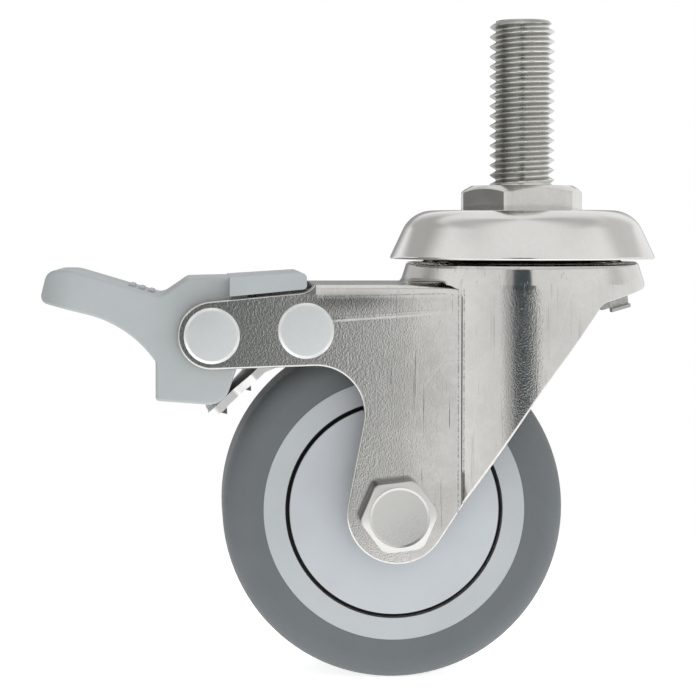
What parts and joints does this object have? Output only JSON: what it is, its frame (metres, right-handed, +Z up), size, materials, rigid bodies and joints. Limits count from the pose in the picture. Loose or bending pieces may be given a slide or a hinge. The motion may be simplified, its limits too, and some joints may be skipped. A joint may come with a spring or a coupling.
{
  "type": "swivel castor",
  "caption": "Stainless swivel castor with a threaded stem, stamped fork, small grey wheel and a foot pedal that locks both wheel and swivel.",
  "frame": {"origin": "on the swivel axis, at the hexagon's upper face where the threaded stem begins", "axes": "+Z up the threaded stem, +X away from the brake pedal, +Y along the wheel's axle from the bolt's head to its nut"},
  "size_m": [0.0925, 0.0416, 0.0985],
  "materials": {
    "stem_steel": "machined stainless",
    "polished_sheet": "polished stainless",
    "fork_sheet": "tumbled stainless, mottled",
    "rivet_steel": "matt stainless",
    "bolt_steel": "plain stainless",
    "plate_steel": "pressed stainless",
    "bearing_steel": "ground and polished",
    "wheel_plastic": "moulded, fine matt",
    "pedal_plastic": "moulded, fine matt",
    "tyre_rubber": "matt"
  },
  "bodies": {
    "head": {"threaded_stem": "stem_steel", "top_cap": "polished_sheet", "upper_race": "bearing_steel", "upper_balls": "bearing_steel", "lower_race": "bearing_steel", "lower_balls": "bearing_steel", "swivel_lock_ring": "stem_steel", "kingpin_nut": "stem_steel"},
    "fork": {"fork": "fork_sheet", "pedal_rivet": "rivet_steel", "shoe_rivet": "rivet_steel", "axle_bolt": "bolt_steel", "axle_nut": "bolt_steel", "thread_guard_near": "wheel_plastic", "thread_guard_far": "wheel_plastic", "bearing_inner_near": "bearing_steel", "bearing_inner_far": "bearing_steel", "axle_sleeve": "stem_steel", "return_spring": "plate_steel"},
    "wheel": {"tyre": "tyre_rubber", "wheel_core": "wheel_plastic", "bearing_outer_near": "bearing_steel", "bearing_outer_far": "bearing_steel", "bearing_balls_near": "bearing_steel", "bearing_balls_far": "bearing_steel"},
    "pedal": {"brake_pedal": "pedal_plastic"},
    "brake_plate": {"brake_plate": "plate_steel"}
  },
  "joints": [
    {"name": "swivel", "type": "hinge", "parent": "head", "child": "fork", "pos_m": [0, 0, 0], "axis": [0, 0, 1], "continuous": true},
    {"name": "wheel_spin", "type": "hinge", "parent": "fork", "child": "wheel", "pos_m": [-0.0203, 0, -0.0481], "axis": [0, 1, 0], "continuous": true},
    {"name": "pedal_press", "type": "hinge", "parent": "fork", "child": "pedal", "pos_m": [-0.0473, 0, -0.02203], "axis": [0, -1, 0], "range_deg": [0, 30]},
    {"name": "plate_press", "type": "hinge", "parent": "fork", "child": "brake_plate", "pos_m": [-0.03366, 0, -0.0213], "axis": [0, -1, 0], "range_deg": [0, 9.3], "deforming": ["return_spring"]}
  ],
  "couplings": [
    {"joint": "plate_press", "follows": "pedal_press", "ratio": 0.31}
  ]
}
